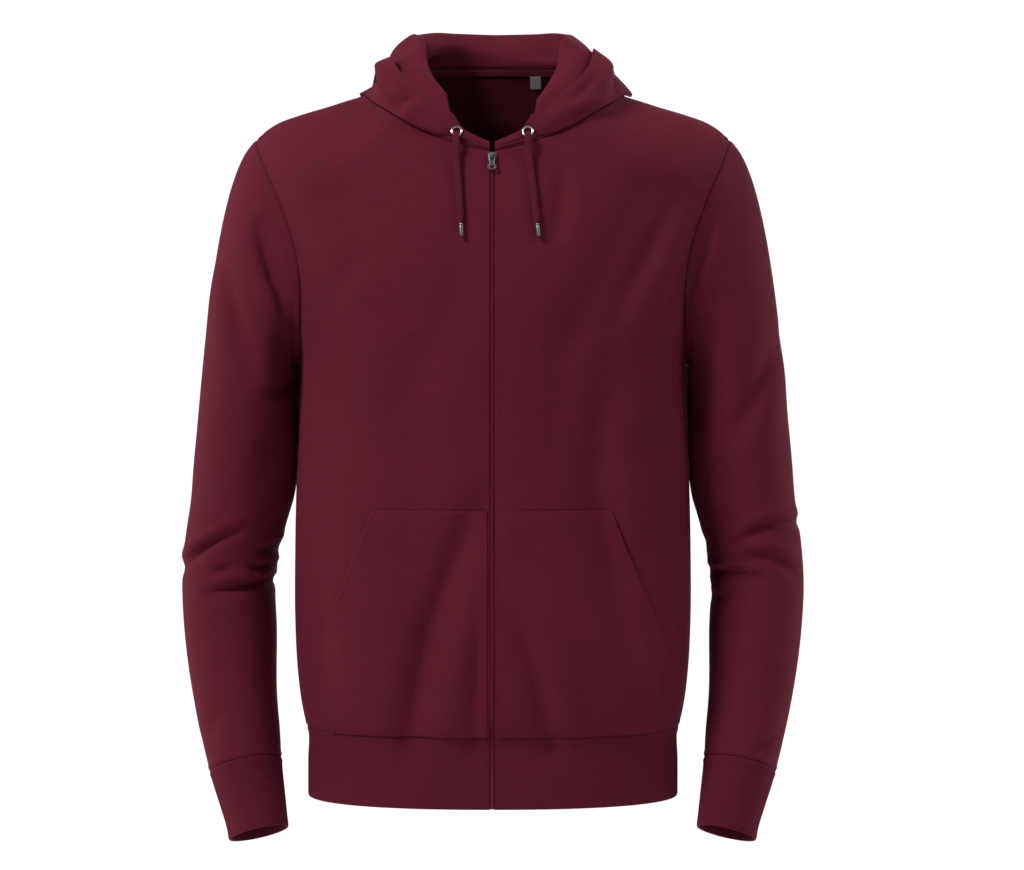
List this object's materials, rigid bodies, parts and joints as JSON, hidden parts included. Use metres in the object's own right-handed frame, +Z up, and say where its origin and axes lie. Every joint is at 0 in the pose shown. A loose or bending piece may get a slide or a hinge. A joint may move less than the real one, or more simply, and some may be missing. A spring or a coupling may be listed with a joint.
{
  "type": "zip up hoodie",
  "caption": "Long-sleeved zip up hoodie in worn, hollow form, with its hood down, drawcord ends, front pockets, ribbed cuffs and ribbed hem band.",
  "frame": {"origin": "the middle of the neck, level with the inner ends of the shoulder seams, where the wearer's neck and shoulders carry the garment", "axes": "+X to the wearer's left, +Y to the wearer's back, +Z up"},
  "size_m": [0.6198, 0.3537, 0.8168],
  "materials": {
    "fleece": "matte burgundy sweatshirt fleece",
    "rib": "matte burgundy rib knit",
    "tape": "burgundy herringbone tape",
    "woven_label": "bare light grey woven label",
    "zip_tape": "burgundy woven zip tape",
    "silver": "satin nickel plate",
    "cord": "burgundy flat braided cord"
  },
  "bodies": {
    "garment": {"front_left": "fleece", "front_right": "fleece", "back": "fleece", "sleeve_left": "fleece", "sleeve_right": "fleece", "hood_left": "fleece", "hood_right": "fleece", "pocket_left": "fleece", "pocket_right": "fleece", "cuff_left": "rib", "cuff_right": "rib", "hem_band": "rib", "neck_tape": "tape", "size_label": "woven_label", "zip_left": "zip_tape", "zip_right": "zip_tape", "zip_slider": "silver", "eyelet_left": "silver", "eyelet_right": "silver", "drawcord_left": "cord", "drawcord_right": "cord", "cord_tip_left": "silver", "cord_tip_right": "silver"},
    "pull_tab": {"zip_pull": "silver"}
  },
  "joints": [
    {"name": "pull_hinge", "type": "hinge", "parent": "garment", "child": "pull_tab", "pos_m": [0, -0.11309, -0.07071], "axis": [-1, 0, 0], "range_deg": [0, 150]}
  ]
}
